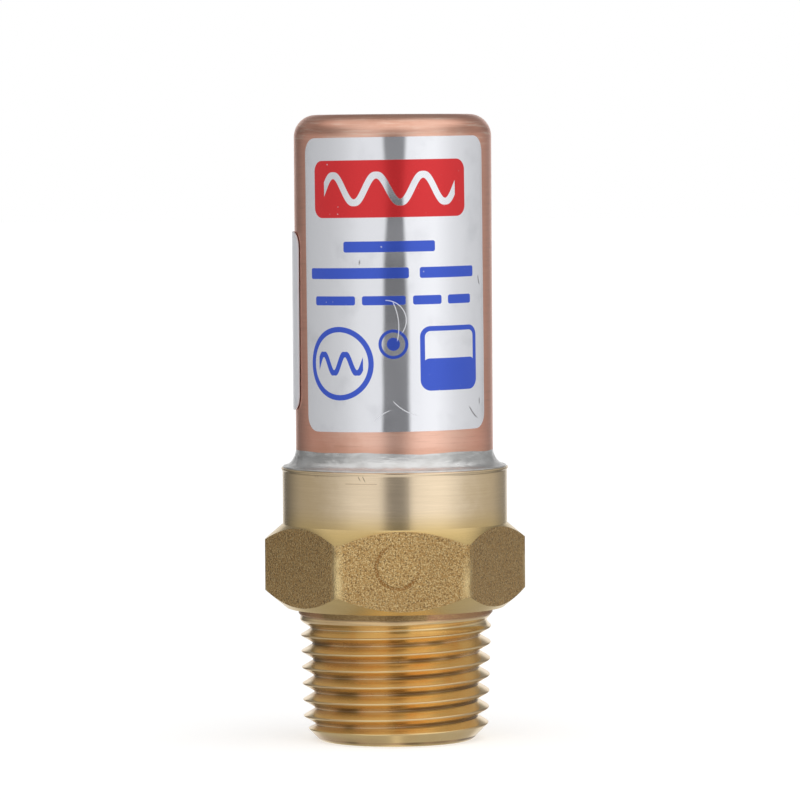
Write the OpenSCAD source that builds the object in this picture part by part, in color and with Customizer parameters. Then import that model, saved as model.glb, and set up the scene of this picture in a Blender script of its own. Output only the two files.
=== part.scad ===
// Water hammer arrestor. A copper air chamber is soldered into a forged brass adapter with a
// hexagon and a tapered male pipe thread. A piston with two seals slides in the chamber and
// keeps the air above it from the water that comes in through the thread.
// The origin is the centre of the thread's end face and the chamber points to +Z.

/* [Pipe thread] */
// Distance between thread crests (14 to the inch)
thread_pitch = 1.814; // [1.4:0.001:2.2]
// Diameter over the crests at the open end
thread_end_d = 20.6; // [19.8:0.1:21.4]
// Radial depth of the thread
thread_depth = 1.2; // [0.7:0.05:1.3]
// Flat width along each crest
thread_crest_w = 0.12; // [0.05:0.01:0.3]
// Growth of the diameter for each millimetre of length
thread_taper = 0.0625; // [0:0.0025:0.075]
// Length from the end face to the hexagon
shank_l = 14.85; // [12:0.05:20]
// Height of the plain ring below the hexagon
land_h = 0.7; // [0.5:0.1:2]
// Step from the last crest out to the plain ring
land_step = 0.12; // [0.05:0.01:0.3]
// Diameter of the flat end face, inside its chamfer
end_face_d = 17.2; // [16.4:0.1:17.8]

/* [Water inlet] */
// Diameter of the waterway through the thread
inlet_d = 14; // [10:0.5:15]
// Width of the chamfer at the mouth of the waterway
inlet_chamfer = 0.5; // [0.2:0.1:0.6]

/* [Hexagon and collar] */
// Size across the hexagon's flats (1 inch)
hex_af = 25.4; // [25:0.1:30]
// Height of the hexagon
hex_h = 9.37; // [8:0.01:14]
// Slope of the turned chamfers, up from level
hex_chamfer_angle = 40; // [25:1:45]
// Ledge under the hexagon, from the plain ring out to its lower chamfer
hex_ledge = 1.34; // [0.8:0.02:2]
// Height of the turned collar above the hexagon
collar_h = 6.3; // [5:0.1:10]
// Step from the hexagon's flats in to the collar
collar_inset = 0.15; // [0.05:0.01:0.4]
// Depth of the socket for the chamber, from the collar's top
socket_depth = 8; // [6:0.1:9]

/* [Chamber] */
// Outside diameter of the copper tube
tube_d = 22; // [21:0.1:23]
// Wall thickness of the tube and its closed end
tube_wall = 1.14; // [0.8:0.01:1.4]
// Length of the tube with its closed end
tube_l = 47.28; // [40:0.01:80]
// Outside corner radius of the closed end
crown_r = 2.45; // [1.8:0.05:4]

/* [Solder] */
// Radial gap between the tube and the socket, filled by solder
solder_gap = 0.1; // [0.05:0.01:0.2]
// Height of the solder fillet above the collar
solder_h = 2; // [1:0.1:3]
// Plain rim of the collar left outside the fillet
solder_margin = 0.1; // [0:0.01:0.4]
// Hollow of the fillet below a straight slope
solder_sag = 0.35; // [0.1:0.05:0.5]

/* [Piston] */
// Length of the piston
piston_l = 15; // [13:0.5:20]
// Radial gap between the piston and the tube
piston_gap = 0.1; // [0.05:0.01:0.3]
// Chamfer on the piston's two outer edges
piston_chamfer = 0.6; // [0.2:0.1:1]
// Diameter of the hollow in the piston's water side
core_d = 9; // [5:0.5:11]
// Depth of the hollow in the piston's water side
core_depth = 11; // [4:0.5:11]
// Section thickness of each seal ring
seal_section = 2.4; // [1.6:0.1:2.6]
// Radial gap around each seal ring
seal_gap = 0.03; // [0.02:0.01:0.08]
// Extra width of each groove over its ring
groove_play = 0.6; // [0.2:0.1:1]
// Distance from each end of the piston to the near groove
groove_inset = 2.2; // [1.5:0.1:3]

/* [Labels] */
// Thickness of the foil
label_t = 0.1; // [0.06:0.01:0.2]
// Corner radius of the labels
label_corner_r = 1.8; // [0.8:0.1:3]
// Width of the front label, round the tube
front_label_w = 23.4; // [16:0.1:28]
// Gap from the tube's rounded corner down to the front label
front_label_top_gap = 0.05; // [0:0.05:4]
// Gap from the solder up to the front label
front_label_low_gap = 2.45; // [1:0.05:6]
// Turn of the front label's middle from straight ahead
front_label_turn = -2; // [-10:0.5:10]
// Width of the rear label, round the tube
rear_label_w = 35.6; // [20:0.1:38]
// Height of the rear label
rear_label_h = 19.8; // [12:0.1:22]
// Gap from the solder up to the rear label
rear_label_low_gap = 4.5; // [1:0.1:8]
// Gap round the tube from the front label's left edge to the rear label
label_side_gap = 2.2; // [0.5:0.1:6]

/* [Hidden] */
$fn = 96;
eps = 0.01;

// Levels along the axis, from the thread's end face
land_z = shank_l - land_h;
hex_top = shank_l + hex_h;
collar_top = hex_top + collar_h;
socket_z = collar_top - socket_depth;
chamber_top = socket_z + tube_l;
solder_top = collar_top + solder_h;

// Radii
tube_r = tube_d / 2;
tube_ir = tube_r - tube_wall;
socket_r = tube_r + solder_gap;
collar_r = hex_af / 2 - collar_inset;
hex_r = hex_af / 2 / cos(30);
land_r = (thread_end_d + thread_taper * land_z) / 2 + land_step;
hex_foot_r = land_r + hex_ledge;
hex_cut_r = hex_r + 1;
piston_r = tube_ir - piston_gap;
seal_r = tube_ir - seal_gap - seal_section / 2;
groove_r = seal_r - seal_section / 2 - seal_gap;
groove_w = seal_section + groove_play;

// Turn of the rear label's middle, which lies beyond the front label's left edge
rear_label_turn =
    front_label_turn - (front_label_w / 2 + label_side_gap + rear_label_w / 2) / tube_r * 180 / PI;

// Thread: straight facets round one turn, flank height and the length over which the groove fades out
thread_facets = 48;
thread_lead = thread_pitch / thread_facets;
flank_h = thread_depth * tan(30);
runout_l = thread_pitch;
// Height of a crest on the +X side
thread_phase = 1.76;

// Crest radius of the tapered thread, cut down by the 45 degree chamfer at the open end
function crest_r(z) = min((thread_end_d + thread_taper * z) / 2, end_face_d / 2 + z);

// Radius in the groove, which rises to the crest radius where the thread runs out
function root_r(z) =
    let (deep = thread_depth * max(0, min(1, (land_z - z) / runout_l)))
    min((thread_end_d + thread_taper * z) / 2 - deep, end_face_d / 2 + z);

// Points [radius, height] up one side of the thread at the given angle
function thread_column(angle) =
    let (
        base = thread_phase + thread_pitch * angle / 360,
        half = thread_crest_w / 2,
        turns = ceil(land_z / thread_pitch) + 1,
        low = thread_pitch / 8,
        high = land_z - thread_pitch / 8
    )
    concat(
        [[end_face_d / 2, 0]],
        [
            for (k = [-2:turns], s = [-half - flank_h, -half, half, half + flank_h])
            let (z = base + k * thread_pitch + s)
            if (z > low && z < high)
            [abs(s) > half ? root_r(z) : crest_r(z), z]
        ],
        [[crest_r(land_z), land_z], [crest_r(land_z), land_z + land_h / 2]]
    );

// Triangles between two neighbouring columns, whose points start at indices ia and ib
function zip(a, b, ia, ib, i = 0, j = 0) =
    i == len(a) - 1 && j == len(b) - 1 ? [] :
    j == len(b) - 1 || (i < len(a) - 1 && a[i + 1][1] + thread_lead / 2 <= b[j + 1][1]) ?
        concat([[ia + i, ia + i + 1, ib + j]], zip(a, b, ia, ib, i + 1, j)) :
        concat([[ia + i, ib + j + 1, ib + j]], zip(a, b, ia, ib, i, j + 1));

// Running totals of a list of counts, starting at zero
function starts(counts, i = 0, total = 0) =
    i == len(counts) ? [] : concat([total], starts(counts, i + 1, total + counts[i]));

// Solid shank with a right-hand helical thread
module thread_shank() {
    columns = [for (n = [0:thread_facets - 1]) thread_column(360 * n / thread_facets)];
    counts = [for (c = columns) len(c)];
    first = starts(counts);
    points = [
        for (n = [0:thread_facets - 1], p = columns[n])
        let (angle = 360 * n / thread_facets)
        [p[0] * cos(angle), p[0] * sin(angle), p[1]]
    ];
    sides = [
        for (n = [0:thread_facets - 1])
        let (m = (n + 1) % thread_facets)
        each zip(columns[n], columns[m], first[n], first[m])
    ];
    bottom = [for (n = [0:thread_facets - 1]) first[n]];
    top = [for (n = [thread_facets - 1:-1:0]) first[n] + counts[n] - 1];
    polyhedron(points = points, faces = concat(sides, [bottom, top]), convexity = 10);
}

// Hexagon whose corners are cut back by a turned cone at each end
module hexagon() {
    intersection() {
        translate([0, 0, shank_l])
            cylinder(r = hex_r, h = hex_h, $fn = 6);
        rotate_extrude()
            polygon([
                [0, shank_l],
                [hex_foot_r, shank_l],
                [hex_cut_r, shank_l + (hex_cut_r - hex_foot_r) * tan(hex_chamfer_angle)],
                [hex_cut_r, hex_top - (hex_cut_r - collar_r) * tan(hex_chamfer_angle)],
                [collar_r, hex_top],
                [0, hex_top]
            ]);
    }
}

// Forged adapter: tapered thread, hexagon and collar in one piece
module brass_body() {
    color([0.78, 0.62, 0.36])
    difference() {
        union() {
            thread_shank();
            translate([0, 0, land_z])
                cylinder(r = land_r, h = land_h + eps);
            hexagon();
            translate([0, 0, hex_top - eps])
                cylinder(r = collar_r, h = collar_h + eps);
        }
        translate([0, 0, -eps])
            cylinder(d = inlet_d, h = collar_top + 2 * eps);
        translate([0, 0, -eps])
            cylinder(d1 = inlet_d + 2 * (inlet_chamfer + eps), d2 = inlet_d, h = inlet_chamfer + eps);
        translate([0, 0, socket_z])
            cylinder(r = socket_r, h = socket_depth + eps);
    }
}

// Outline of one side of a cup that is closed at the top
module cup_side(r, corner, bottom, top) {
    translate([0, bottom])
        square([r, top - corner - bottom]);
    translate([0, top - corner])
        square([r - corner, corner]);
    intersection() {
        translate([r - corner, top - corner])
            circle(r = corner);
        translate([r - corner, top - corner])
            square(corner + eps);
    }
}

// Drawn copper tube with a flat closed end and a rounded corner
module copper_chamber() {
    color([0.82, 0.52, 0.38])
    rotate_extrude()
        difference() {
            cup_side(tube_r, crown_r, socket_z, chamber_top);
            cup_side(tube_ir, crown_r - tube_wall, socket_z - eps, chamber_top - tube_wall);
        }
}

// Solder that fills the socket's gap and rises to the tube in a hollow fillet
module solder_joint() {
    run = collar_r - solder_margin - tube_r;
    chord = norm([run, solder_h]);
    sag = min(solder_sag, run / 4);
    sag_r = (chord * chord / 4 + sag * sag) / (2 * sag);
    mid = [tube_r + run / 2, collar_top + solder_h / 2];
    out = [solder_h, run] / chord;
    color([0.74, 0.74, 0.73])
    rotate_extrude()
        difference() {
            union() {
                translate([tube_r, socket_z])
                    square([solder_gap, socket_depth + eps]);
                polygon([
                    [tube_r, collar_top],
                    [tube_r + run, collar_top],
                    [tube_r, solder_top]
                ]);
            }
            translate(mid + out * (sag_r - sag))
                circle(r = sag_r);
        }
}

// Moulded piston with two grooves, hollow on its water side
module piston() {
    top = socket_z + piston_l;
    color([0.9, 0.9, 0.86])
    difference() {
        rotate_extrude()
            polygon([
                [0, socket_z],
                [piston_r - piston_chamfer, socket_z],
                [piston_r, socket_z + piston_chamfer],
                [piston_r, socket_z + groove_inset],
                [groove_r, socket_z + groove_inset],
                [groove_r, socket_z + groove_inset + groove_w],
                [piston_r, socket_z + groove_inset + groove_w],
                [piston_r, top - groove_inset - groove_w],
                [groove_r, top - groove_inset - groove_w],
                [groove_r, top - groove_inset],
                [piston_r, top - groove_inset],
                [piston_r, top - piston_chamfer],
                [piston_r - piston_chamfer, top],
                [0, top]
            ]);
        translate([0, 0, socket_z - eps])
            cylinder(d = core_d, h = core_depth + eps);
    }
}

// Seal ring centred at height z
module o_ring(z) {
    color([0.1, 0.1, 0.11])
    translate([0, 0, z])
        rotate_extrude()
            translate([seal_r, 0])
                circle(d = seal_section);
}

module upper_o_ring() {
    o_ring(socket_z + piston_l - groove_inset - groove_w / 2);
}

module lower_o_ring() {
    o_ring(socket_z + groove_inset + groove_w / 2);
}

// Foil label between two heights, with round corners, whose middle faces +X
module foil_label(w, bottom, top) {
    r = label_corner_r;
    wrap = w / tube_r * 180 / PI;
    side = (w / 2 - r) / tube_r * 180 / PI;
    difference() {
        rotate([0, 0, -wrap / 2])
            rotate_extrude(angle = wrap)
                translate([tube_r, bottom])
                    square([label_t, top - bottom]);
        for (across = [-1, 1], up = [-1, 1])
            rotate([0, 0, across * side])
                translate([0, 0, up > 0 ? top - r : bottom + r])
                    rotate([90, 0, 90])
                        linear_extrude(height = 2 * tube_r)
                            difference() {
                                translate([across, up] * r)
                                    square(2 * r, center = true);
                                circle(r = r + eps);
                            }
    }
}

module front_label() {
    color([0.84, 0.84, 0.86])
    rotate([0, 0, front_label_turn - 90])
        foil_label(
            front_label_w,
            solder_top + front_label_low_gap,
            chamber_top - crown_r - front_label_top_gap
        );
}

module rear_label() {
    color([0.8, 0.8, 0.82])
    rotate([0, 0, rear_label_turn - 90])
        foil_label(
            rear_label_w,
            solder_top + rear_label_low_gap,
            solder_top + rear_label_low_gap + rear_label_h
        );
}

brass_body();
copper_chamber();
solder_joint();
piston();
upper_o_ring();
lower_o_ring();
front_label();
rear_label();
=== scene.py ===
"""Looks of a water hammer arrestor: brass adapter, copper chamber, solder, foil labels and piston.

Sizes of pieces and finishes are in millimetres and angles in degrees. The studio is in metres.
"""

import logging
import math
from dataclasses import dataclass
from enum import Enum

import bmesh
import bpy
from bmesh.types import BMEdge, BMesh, BMVert
from bpy.types import Material, Node, NodeSocket, NodeTree, Object
from mathutils import Matrix, Quaternion, Vector, noise


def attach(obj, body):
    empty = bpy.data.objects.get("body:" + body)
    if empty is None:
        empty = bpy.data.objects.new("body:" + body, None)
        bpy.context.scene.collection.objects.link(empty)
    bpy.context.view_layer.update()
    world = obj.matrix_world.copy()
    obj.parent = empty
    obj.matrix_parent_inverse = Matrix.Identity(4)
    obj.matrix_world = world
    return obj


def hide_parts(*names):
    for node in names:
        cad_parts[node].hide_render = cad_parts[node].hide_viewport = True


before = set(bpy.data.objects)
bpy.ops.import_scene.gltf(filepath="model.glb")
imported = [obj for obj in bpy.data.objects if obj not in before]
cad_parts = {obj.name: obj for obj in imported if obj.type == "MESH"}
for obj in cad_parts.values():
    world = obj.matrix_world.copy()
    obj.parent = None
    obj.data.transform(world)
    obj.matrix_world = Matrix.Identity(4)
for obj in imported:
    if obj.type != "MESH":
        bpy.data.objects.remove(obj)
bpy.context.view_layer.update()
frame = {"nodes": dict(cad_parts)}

LOG = logging.getLogger("arrestor")
MM = 0.001
SOFT = 0.03  # half the width of a printed edge, in mm
FADE = 0.2  # half the length in which a scratch ends, in mm
END_R = 10.3
TAPER = 0.03125
LAND_R = 10.862
LAND_Z = 14.15
ACROSS_FLATS = 25.4
COLLAR_R = 12.55
COLLAR_TOP = 30.52
SOCKET_R = 11.1
SOCKET_Z = 22.52
TUBE_R = 11.0
Colour = tuple[float, float, float]
Triple = tuple[float, float, float]
Point = tuple[float, float]
Box = tuple[float, float, float, float]
Arc = tuple[float, float, float, int, float, float]
Value = float | NodeSocket


class Body(Enum):
    """The two bodies of the part."""

    HOUSING = "housing"
    PISTON = "piston_assembly"


class Slot(Enum):
    """The material slots of the part."""

    BRASS = "brass"
    COPPER = "copper"
    SOLDER = "solder"
    PLASTIC = "piston_plastic"
    RUBBER = "seal_rubber"
    FOIL = "label_foil"


@dataclass(frozen=True)
class Wave:
    """An even wave line on a label, in millimetres."""

    span: Point
    level: float
    height: float
    length: float
    width: float


class Sheet:
    """Short calls for laying out the nodes of one tree."""

    def __init__(self, tree: NodeTree) -> None:
        """Starts from the node tree of a material or of the world, which is emptied."""
        tree.nodes.clear()
        self.tree = tree

    def add(self, kind: str, **settings: object) -> Node:
        """Adds a node.

        Args:
            kind: the node's Blender type.
            settings: the node's own properties.
        Returns:
            The node.
        """
        node = self.tree.nodes.new(kind)
        for key, value in settings.items():
            setattr(node, key, value)
        return node

    def feed(self, socket: NodeSocket, value: Value | Colour) -> None:
        """Links a socket to an output, or sets it.

        Args:
            socket: the input.
            value: an output, a number or a colour.
        """
        if isinstance(value, NodeSocket):
            self.tree.links.new(value, socket)
        elif isinstance(value, tuple) and socket.type == "RGBA":
            socket.default_value = (*value, 1.0)
        else:
            socket.default_value = value

    def calc(self, operation: str, *values: Value) -> NodeSocket:
        """A Math node.

        Args:
            operation: the node's operation.
            values: its inputs, in order.
        Returns:
            The result.
        """
        node = self.add("ShaderNodeMath", operation=operation)
        for socket, value in zip(node.inputs, values):
            self.feed(socket, value)
        return node.outputs[0]

    def spread(self, value: Value, low: float, high: float, start: float = 0.0,
               end: float = 1.0) -> NodeSocket:
        """A smooth step between two values.

        Args:
            value: what is mapped.
            low: where the step starts.
            high: where it ends, which may be below low.
            start: the result before the step.
            end: the result after it.
        Returns:
            The result.
        """
        flip = low > high
        node = self.add("ShaderNodeMapRange", interpolation_type="SMOOTHSTEP")
        ends = (high, low, end, start) if flip else (low, high, start, end)
        for socket, item in zip(node.inputs, (value, *ends)):
            self.feed(socket, item)
        return node.outputs[0]

    def blend(self, share: Value, first: NodeSocket | Colour, second: NodeSocket | Colour) -> NodeSocket:
        """Mixes two colours.

        Args:
            share: how much of the second colour shows.
            first: the colour at share 0.
            second: the colour at share 1.
        Returns:
            The mixed colour.
        """
        node = self.add("ShaderNodeMix", data_type="RGBA")
        self.feed(node.inputs[0], share)
        self.feed(node.inputs[6], first)
        self.feed(node.inputs[7], second)
        return node.outputs[2]

    def coats(self, tone: NodeSocket | Colour, *layers: tuple[Value, NodeSocket | Colour]) -> NodeSocket:
        """Lays colours over each other.

        Args:
            tone: the colour underneath.
            layers: pairs of a share and a colour, the lowest first.
        Returns:
            The mixed colour.
        """
        for share, colour in layers:
            tone = self.blend(share, tone, colour)
        return tone

    def grain(self, vector: NodeSocket, scale: float, detail: float = 2.0, rough: float = 0.5) -> NodeSocket:
        """Noise from 0 to 1.

        Args:
            vector: where it is read.
            scale: features per unit.
            detail: octaves.
            rough: weight of the finer octaves.
        Returns:
            The value.
        """
        node = self.add("ShaderNodeTexNoise")
        self.feed(node.inputs["Vector"], vector)
        node.inputs["Scale"].default_value = scale
        node.inputs["Detail"].default_value = detail
        node.inputs["Roughness"].default_value = rough
        return node.outputs[0]

    def object_mm(self, turn: float = 0.0) -> NodeSocket:
        """The place on the piece in millimetres.

        Args:
            turn: degrees by which the pattern is turned about the axis.
        Returns:
            The vector.
        """
        node = self.add("ShaderNodeMapping")
        node.inputs["Scale"].default_value = (1 / MM, 1 / MM, 1 / MM)
        node.inputs["Rotation"].default_value = (0.0, 0.0, math.radians(turn))
        self.feed(node.inputs["Vector"], self.add("ShaderNodeTexCoord").outputs["Object"])
        return node.outputs[0]

    def split(self, vector: NodeSocket) -> tuple[NodeSocket, NodeSocket, NodeSocket]:
        """The x, y and z of a vector.

        Args:
            vector: the vector.
        Returns:
            Its three parts.
        """
        node = self.add("ShaderNodeSeparateXYZ")
        self.feed(node.inputs[0], vector)
        return node.outputs[0], node.outputs[1], node.outputs[2]

    def join(self, x: Value, y: Value, z: Value) -> NodeSocket:
        """A vector from its parts.

        Args:
            x: first part.
            y: second part.
            z: third part.
        Returns:
            The vector.
        """
        node = self.add("ShaderNodeCombineXYZ")
        for socket, value in zip(node.inputs, (x, y, z)):
            self.feed(socket, value)
        return node.outputs[0]

    def chain(self, operation: str, values: tuple[Value, ...]) -> NodeSocket:
        """One Math node after another.

        Args:
            operation: the operation of each node.
            values: what is taken together.
        Returns:
            The result.
        """
        result = values[0]
        for value in values[1:]:
            result = self.calc(operation, result, value)
        return result

    def times(self, *values: Value) -> NodeSocket:
        """The product of several values."""
        return self.chain("MULTIPLY", values)

    def most(self, *values: Value) -> NodeSocket:
        """The largest of several values."""
        return self.chain("MAXIMUM", values)

    def minus(self, value: Value, less: Value) -> NodeSocket:
        """The difference of two values."""
        return self.calc("SUBTRACT", value, less)

    def off(self, value: Value, place: Value) -> NodeSocket:
        """How far a value is from a place."""
        return self.calc("ABSOLUTE", self.minus(value, place))

    def edge(self, off: NodeSocket, reach: float) -> NodeSocket:
        """1 within a reach and 0 beyond it, with a printed edge between."""
        return self.spread(off, reach + SOFT, reach - SOFT)

    def hypot(self, a: NodeSocket, b: NodeSocket) -> NodeSocket:
        """The length of a two-part vector."""
        square = self.calc("MULTIPLY_ADD", a, a, self.times(b, b))
        return self.calc("SQRT", square)

    def bearing(self, x: NodeSocket, y: NodeSocket) -> NodeSocket:
        """The angle about the axis in radians, from the front and growing to the right."""
        return self.calc("ARCTAN2", x, self.times(y, -1.0))

    def total(self, *terms: tuple[Value, float]) -> NodeSocket:
        """A weighted sum.

        Args:
            terms: pairs of a value and its weight.
        Returns:
            The sum.
        """
        result: Value = 0.0
        for value, weight in terms:
            result = self.calc("MULTIPLY_ADD", value, weight, result)
        return result

    def box(self, u: NodeSocket, v: NodeSocket, field: Box, corner: float, grow: float = 0.0) -> NodeSocket:
        """A round-cornered field.

        Args:
            u: millimetres round the piece.
            v: millimetres along the piece.
            field: left, right, low and high edge.
            corner: corner radius.
            grow: how far the edge is moved out.
        Returns:
            1 inside the field and 0 outside.
        """
        left, right, low, high = field
        parts = []
        for axis, first, last in ((u, left, right), (v, low, high)):
            past = self.minus(self.off(axis, (first + last) / 2), (last - first) / 2 - corner)
            parts.append(self.most(past, 0.0))
        return self.edge(self.hypot(*parts), corner + grow)

    def outline(self, u: NodeSocket, v: NodeSocket, field: Box, corner: float, width: float) -> NodeSocket:
        """1 on a line inside the edge of a round-cornered field, and 0 off it."""
        inner = self.box(u, v, field, corner, -width)
        return self.minus(self.box(u, v, field, corner), inner)

    def ring(self, u: NodeSocket, v: NodeSocket, at: Triple, width: float) -> NodeSocket:
        """1 on a ring-shaped line, given by its centre and radius, and 0 off it."""
        reach = self.hypot(self.minus(u, at[0]), self.minus(v, at[1]))
        return self.edge(self.off(reach, at[2]), width / 2)

    def wave(self, u: NodeSocket, v: NodeSocket, wave: Wave) -> NodeSocket:
        """A wave line.

        Args:
            u: millimetres round the piece.
            v: millimetres along the piece.
            wave: its place and size.
        Returns:
            1 on the line and 0 off it.
        """
        start, end = wave.span
        pace = 2 * math.pi / wave.length
        turn = self.times(self.minus(u, start), pace)
        line = self.calc("MULTIPLY_ADD", self.calc("SINE", turn), wave.height, wave.level)
        slope = self.times(self.calc("COSINE", turn), wave.height * pace)
        steep = self.calc("SQRT", self.calc("MULTIPLY_ADD", slope, slope, 1.0))
        on = self.edge(self.calc("DIVIDE", self.off(v, line), steep), wave.width / 2)
        return self.times(on, self.calc("GREATER_THAN", u, start), self.calc("LESS_THAN", u, end))

    def scratches(self, u: NodeSocket, v: NodeSocket, arcs: tuple[Arc, ...], width: float) -> NodeSocket:
        """Fine curved scratches.

        Args:
            u: millimetres round the piece.
            v: millimetres along the piece.
            arcs: centre, radius, side and the heights between which each one runs.
            width: line width.
        Returns:
            1 on a scratch and 0 off it.
        """
        found = []
        for at_u, at_v, radius, side, low, high in arcs:
            line = self.ring(u, v, (at_u, at_v, radius), width)
            near = self.calc("GREATER_THAN", self.times(self.minus(u, at_u), side), 0.0)
            first = self.spread(v, low - FADE, low + FADE)
            last = self.spread(v, high + FADE, high - FADE)
            found.append(self.times(near, first, last, line))
        return self.most(*found)

    def rays(self, *kinds: str) -> NodeSocket:
        """1 on rays of the named kinds and 0 on the others."""
        path = self.add("ShaderNodeLightPath")
        return self.chain("ADD", tuple(path.outputs[kind] for kind in kinds))

    def mixed(self, share: NodeSocket, first: NodeSocket, second: NodeSocket) -> NodeSocket:
        """Mixes two shaders.

        Args:
            share: how much of the second shows.
            first: the shader at share 0.
            second: the shader at share 1.
        Returns:
            The mixed shader.
        """
        mix = self.add("ShaderNodeMixShader")
        for socket, value in zip(mix.inputs, (share, first, second)):
            self.feed(socket, value)
        return mix.outputs[0]

    def surface(self, tone: NodeSocket, rough: NodeSocket, height: NodeSocket, metal: Value = 0.0) -> None:
        """Closes a material with a Principled shader.

        Args:
            tone: the colour.
            rough: the roughness.
            height: the relief in millimetres.
            metal: how metallic it is.
        """
        bump = self.add("ShaderNodeBump")
        bump.inputs["Strength"].default_value = 1.0
        bump.inputs["Distance"].default_value = MM
        self.feed(bump.inputs["Height"], height)
        shader = self.add("ShaderNodeBsdfPrincipled")
        settings = {"Base Color": tone, "Metallic": metal, "Roughness": rough, "Normal": bump.outputs[0]}
        for name, value in settings.items():
            self.feed(shader.inputs[name], value)
        self.feed(self.add("ShaderNodeOutputMaterial").inputs["Surface"], shader.outputs[0])


def grey(level: float) -> Colour:
    """A neutral colour."""
    return level, level, level


def new_sheet(name: str) -> tuple[Material, Sheet]:
    """A new material with an empty node tree.

    Args:
        name: the material's name.
    Returns:
        The material and its sheet.
    """
    material = bpy.data.materials.new(name)
    material.use_nodes = True
    return material, Sheet(material.node_tree)


@dataclass(frozen=True)
class TurnedBrass:
    """Brass as the lathe left it: fine turning lines, a paler heated collar with painted highlight at the
    front and painted shade at the sides, and thread roots and grooves darkened with grime and painted shade,
    most on the left.
    """

    name: str = "turned_brass"
    golden: Colour = (0.74, 0.54, 0.23)
    # pale and side: the collar's heat tint, with painted highlight at the front and painted shade at the
    # sides
    pale: Colour = (0.93, 0.76, 0.54)
    side: Colour = (0.77, 0.595, 0.36)
    cut: Colour = (0.92, 0.70, 0.38)
    orange: Colour = (0.90, 0.60, 0.28)
    # dark tones of grime, also used for the painted shade in the thread
    grime_and_shade: Colour = (0.22, 0.13, 0.06)
    rust_and_shade: Colour = (0.42, 0.21, 0.12)
    rubbed: Colour = (0.74, 0.52, 0.28)
    heat: Point = (23.4, 26.8)
    end_z: Point = (1.8, 1.2)
    land_z: float = LAND_Z
    land_r: float = LAND_R
    crest_r: float = END_R
    taper: float = TAPER
    # depths at which the thread roots and groove walls get grime and painted shade
    root: Point = (1.17, 1.27)
    groove_floor: Point = (1.6, 1.4)
    groove_shade: Point = (0.5, 1.1)
    crest: Point = (0.2, 0.08)
    collar_r: float = COLLAR_R
    collar_skin: Point = (12.2, 12.4)
    mouth: Point = (7.1, 7.4)
    scores: tuple[Arc, ...] = (
        (2.29, 33.68, 8.0, -1, 29.7, 30.1),
        (2.91, 33.46, 8.0, -1, 29.6, 30.1),
        (-3.35, 33.62, 8.0, -1, 29.9, 30.2),
        (-3.0, 33.62, 8.0, -1, 29.9, 30.2),
        (4.3, 31.7, 4.0, -1, 30.0, 30.1),
    )
    score_w: float = 0.05
    groove_line: Box = (-6.4, -2.8, 29.28, 29.33)

    def material(self) -> Material:
        """Lays out the finish.

        Returns:
            The material.
        """
        material, sheet = new_sheet(self.name)
        mm = sheet.object_mm()
        x, y, z = sheet.split(mm)
        radius = sheet.hypot(x, y)
        along = sheet.minus(z, radius)
        lines = sheet.grain(sheet.join(sheet.times(x, 0.03), sheet.times(y, 0.03), along), 5.0, 5.0, 0.75)
        stain = sheet.grain(mm, 0.35, 3.0, 0.6)
        slow = sheet.grain(mm, 0.12, 2.0, 0.5)
        fine = sheet.grain(mm, 9.0, 2.0, 0.5)
        depth = sheet.minus(sheet.calc("MULTIPLY_ADD", z, self.taper, self.crest_r), radius)
        outside = sheet.spread(radius, *self.mouth)
        threaded = sheet.times(outside, sheet.spread(z, self.land_z + 0.1, self.land_z - 0.1))
        grooves = sheet.times(threaded, sheet.spread(depth, *self.groove_floor))
        root = sheet.times(sheet.spread(depth, *self.root), grooves)
        # painted shade: the groove walls are darker on the left side, where less light falls
        left = sheet.spread(sheet.calc("MULTIPLY_ADD", stain, 6.0, x), 4.0, -3.0)
        land = sheet.times(
            sheet.spread(z, self.land_z - 0.3, self.land_z),
            sheet.spread(radius, self.land_r + 0.5, self.land_r + 0.1),
            outside,
            sheet.spread(z, self.land_z + 1.0, self.land_z + 0.7),
        )
        # grime and painted shade in the thread roots and grooves; the plain ring is also darkened, unevenly
        grime_and_painted_shade = sheet.most(
            sheet.times(root, sheet.spread(slow, 0.4, 0.62, 0.4, 0.95)),
            sheet.times(sheet.spread(depth, *self.groove_shade, 0.0, 0.35), grooves, left),
            sheet.times(land, sheet.spread(fine, 0.36, 0.64, 0.6, 0.95)),
        )
        u = sheet.times(sheet.bearing(x, y), self.collar_r)
        score = sheet.scratches(u, z, self.scores, self.score_w)
        score = sheet.most(score, sheet.box(u, z, self.groove_line, 0.02))
        score = sheet.times(score, sheet.spread(radius, *self.collar_skin))
        # painted highlight and shade: the heated collar is paler towards the front and darker golden towards
        # the sides
        front = sheet.spread(sheet.calc("MULTIPLY_ADD", stain, 3.0, y), -10.2, -6.0)
        crest = sheet.times(
            sheet.spread(depth, *self.crest), threaded, sheet.spread(slow, 0.35, 0.65, 0.3, 0.9)
        )
        tone = sheet.coats(
            self.golden,
            (sheet.spread(z, *self.heat), sheet.blend(front, self.pale, self.side)),
            (threaded, self.cut),
            (sheet.times(sheet.spread(stain, 0.42, 0.7, 0.0, 0.6), threaded), self.orange),
            (sheet.spread(z, *self.end_z, 0.0, 0.6), self.golden),
            (sheet.spread(lines, 0.35, 0.75, 0.1, 0.0), self.grime_and_shade),
            (crest, self.rubbed),
            (grime_and_painted_shade, sheet.blend(sheet.spread(slow, 0.56, 0.46), self.grime_and_shade, self.rust_and_shade)),
            (sheet.times(score, 0.5), self.grime_and_shade),
        )
        rough = sheet.total((lines, 0.08), (grime_and_painted_shade, 0.2), (stain, 0.06), (threaded, -0.05), (1.0, 0.16))
        sheet.surface(tone, rough, sheet.total((lines, 0.0009), (score, -0.02)), 1.0)
        return material


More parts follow.
